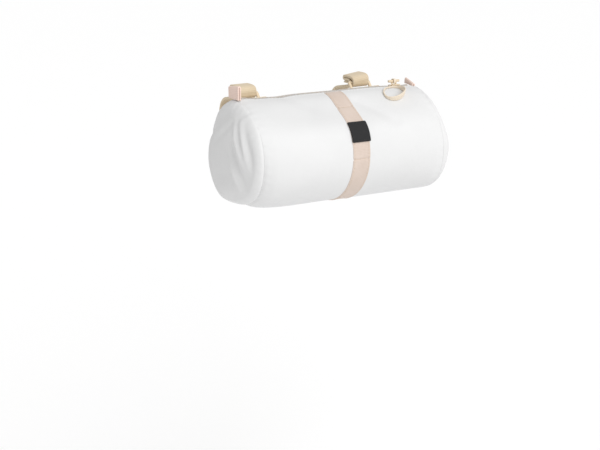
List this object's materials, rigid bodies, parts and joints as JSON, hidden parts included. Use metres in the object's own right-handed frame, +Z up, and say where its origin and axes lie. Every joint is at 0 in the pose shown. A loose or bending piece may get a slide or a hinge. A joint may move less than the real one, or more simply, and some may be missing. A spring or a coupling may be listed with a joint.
{
  "type": "handlebar bag",
  "caption": "Soft roll-shaped handlebar bag of white coated fabric with a zip along the top, a webbing band round its middle and webbing straps that close round a bar through plastic rings.",
  "frame": {"origin": "on the axis of the handlebar that the straps hold, midway between the two straps", "axes": "+X along the handlebar and the roll, to the right of the bag seen from the front; +Y back from the bag to the rider; +Z up"},
  "size_m": [0.2394, 0.1494, 0.1273],
  "materials": {
    "fabric": "white coated polyester, padded, soft sheen",
    "webbing": "pinkish beige woven webbing, matte",
    "strap": "yellowish beige woven webbing, matte",
    "tape": "undyed woven zip tape, matte",
    "coil": "undyed nylon zip coil",
    "plastic": "beige moulded acetal, satin",
    "label": "black woven patch, matte"
  },
  "bodies": {
    "root": {"barrel_shell": "fabric", "end_panel_left": "fabric", "end_panel_right": "fabric", "zip_tape_front": "tape", "zip_tape_back": "tape", "zip_coil": "coil", "zip_slider": "plastic", "pull_loop": "strap", "zip_tab_left": "webbing", "zip_tab_right": "webbing", "front_band": "webbing", "label_patch": "label", "ring_anchor_left": "strap", "strap_ring_left": "plastic", "bar_strap_left": "strap", "ring_anchor_right": "strap", "strap_ring_right": "plastic", "bar_strap_right": "strap"}
  },
  "joints": []
}
